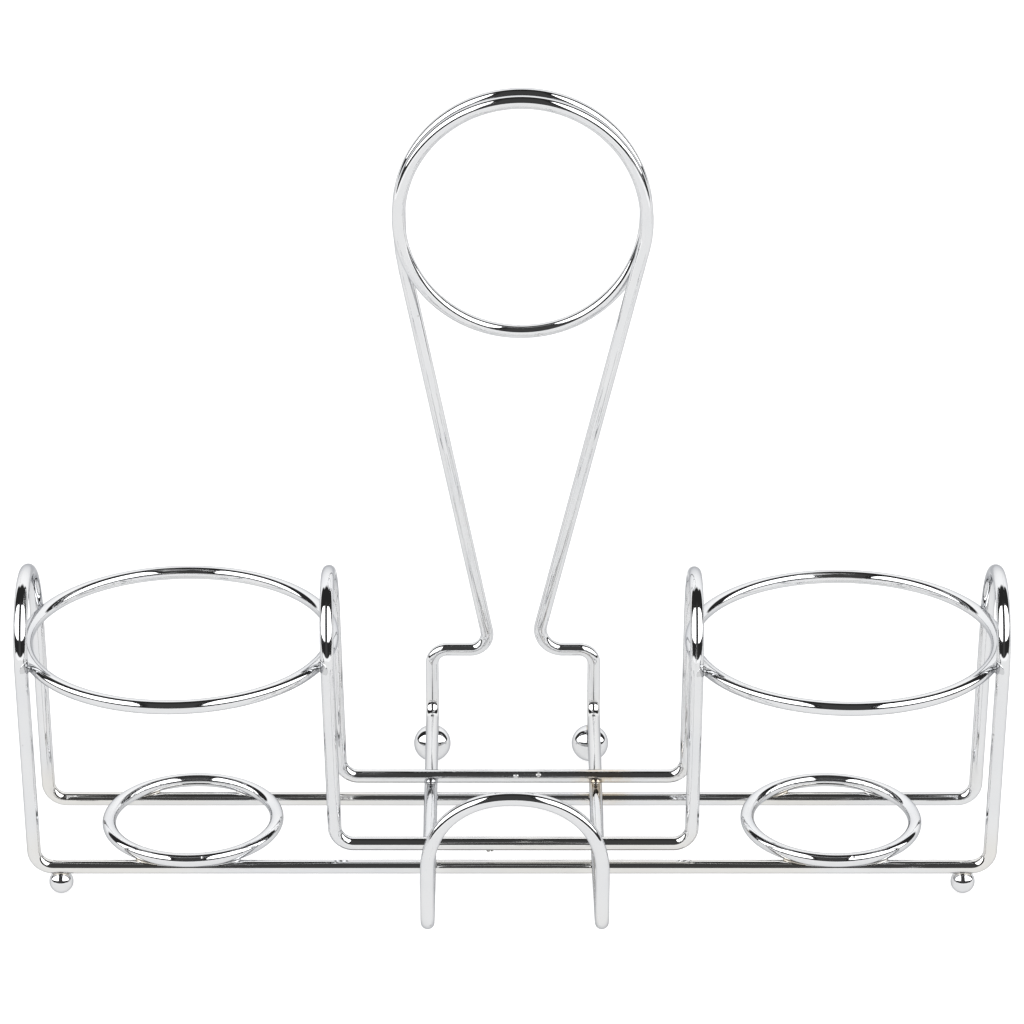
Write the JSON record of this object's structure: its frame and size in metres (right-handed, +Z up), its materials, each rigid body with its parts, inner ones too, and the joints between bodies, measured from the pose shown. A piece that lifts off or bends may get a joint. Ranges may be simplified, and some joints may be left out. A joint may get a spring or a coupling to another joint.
{
  "type": "condiment caddy",
  "caption": "Bright chrome wire table caddy with bottle rings between rounded end arches, an open middle bay behind a low front arch, and a tall handle ending in a card-holding coil.",
  "frame": {"origin": "on the table, under the middle of the caddy's bounding box", "axes": "+X to the right along the length, +Y towards the handle at the back, +Z up"},
  "size_m": [0.2444, 0.1212, 0.1841],
  "materials": {
    "wire_chrome": "bright plated, faint draw lines along the wire",
    "ball_chrome": "bright plated"
  },
  "bodies": {
    "root": {"outer_frame": "wire_chrome", "inner_frame": "wire_chrome", "upper_ring_left": "wire_chrome", "upper_ring_right": "wire_chrome", "lower_ring_left": "wire_chrome", "lower_ring_right": "wire_chrome", "base_wire": "wire_chrome", "handle_wire": "wire_chrome", "front_foot_left": "ball_chrome", "front_foot_right": "ball_chrome", "rear_foot_left": "ball_chrome", "rear_foot_right": "ball_chrome"}
  },
  "joints": []
}
